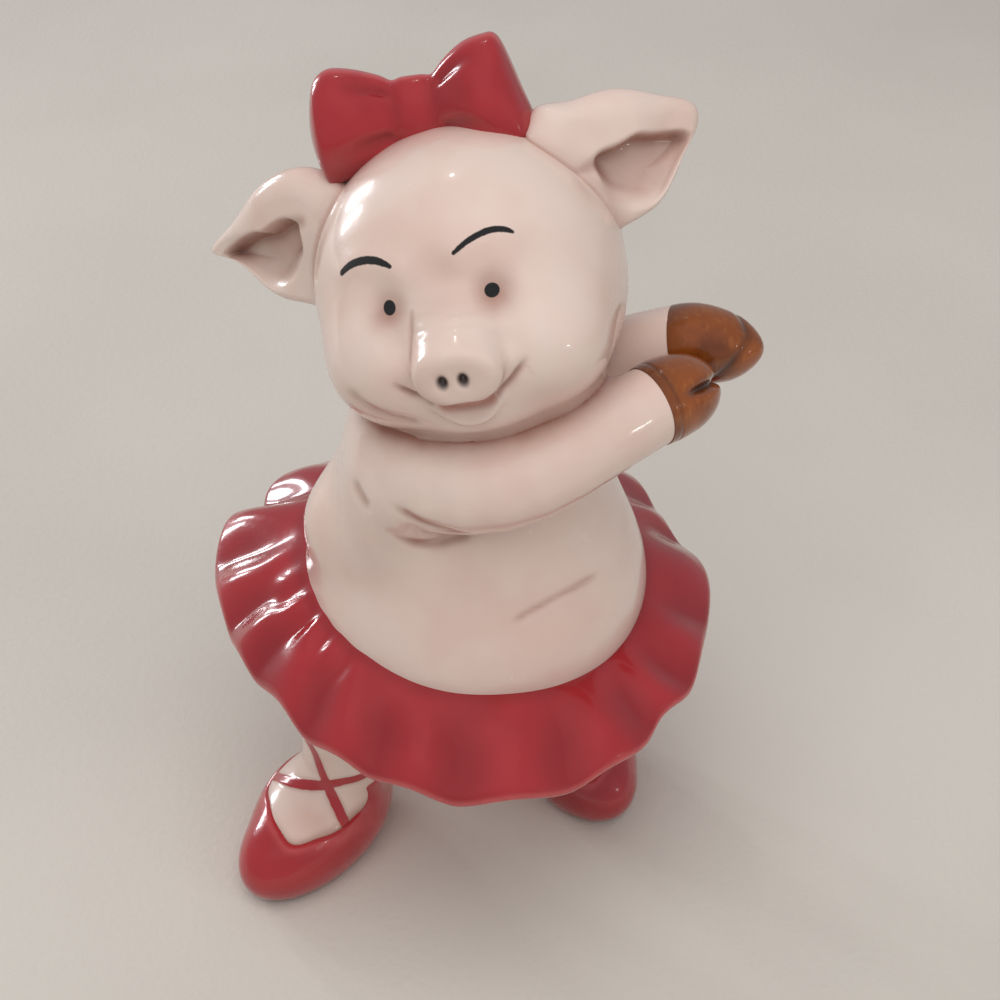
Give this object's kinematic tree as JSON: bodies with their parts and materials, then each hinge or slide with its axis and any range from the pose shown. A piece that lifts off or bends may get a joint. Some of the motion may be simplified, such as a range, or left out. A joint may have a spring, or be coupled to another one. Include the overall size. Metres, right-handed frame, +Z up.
{
  "type": "pig ballerina figurine",
  "caption": "Glazed ceramic pig standing in a ruffled tutu and ballet slippers, arms held to one side and a bow on its crown.",
  "frame": {"origin": "middle of the overall box at the level of the soles", "axes": "+Z up; the figure faces -Y, its right side is at -X and its left side, to which the arms reach, at +X"},
  "size_m": [0.0673, 0.0642, 0.1085],
  "materials": {
    "pink_glaze": "glossy pale pink glaze",
    "red_glaze": "glossy red glaze",
    "brown_glaze": "glossy brown glaze with brush strokes"
  },
  "bodies": {
    "root": {"torso_shell": "pink_glaze", "head_shell": "pink_glaze", "right_ear": "pink_glaze", "left_ear": "pink_glaze", "hair_bow": "red_glaze", "right_arm": "pink_glaze", "left_arm": "pink_glaze", "right_trotter": "brown_glaze", "left_trotter": "brown_glaze", "tutu_skirt": "red_glaze", "right_leg": "pink_glaze", "left_leg": "pink_glaze", "right_slipper": "red_glaze", "left_slipper": "red_glaze"}
  },
  "joints": []
}
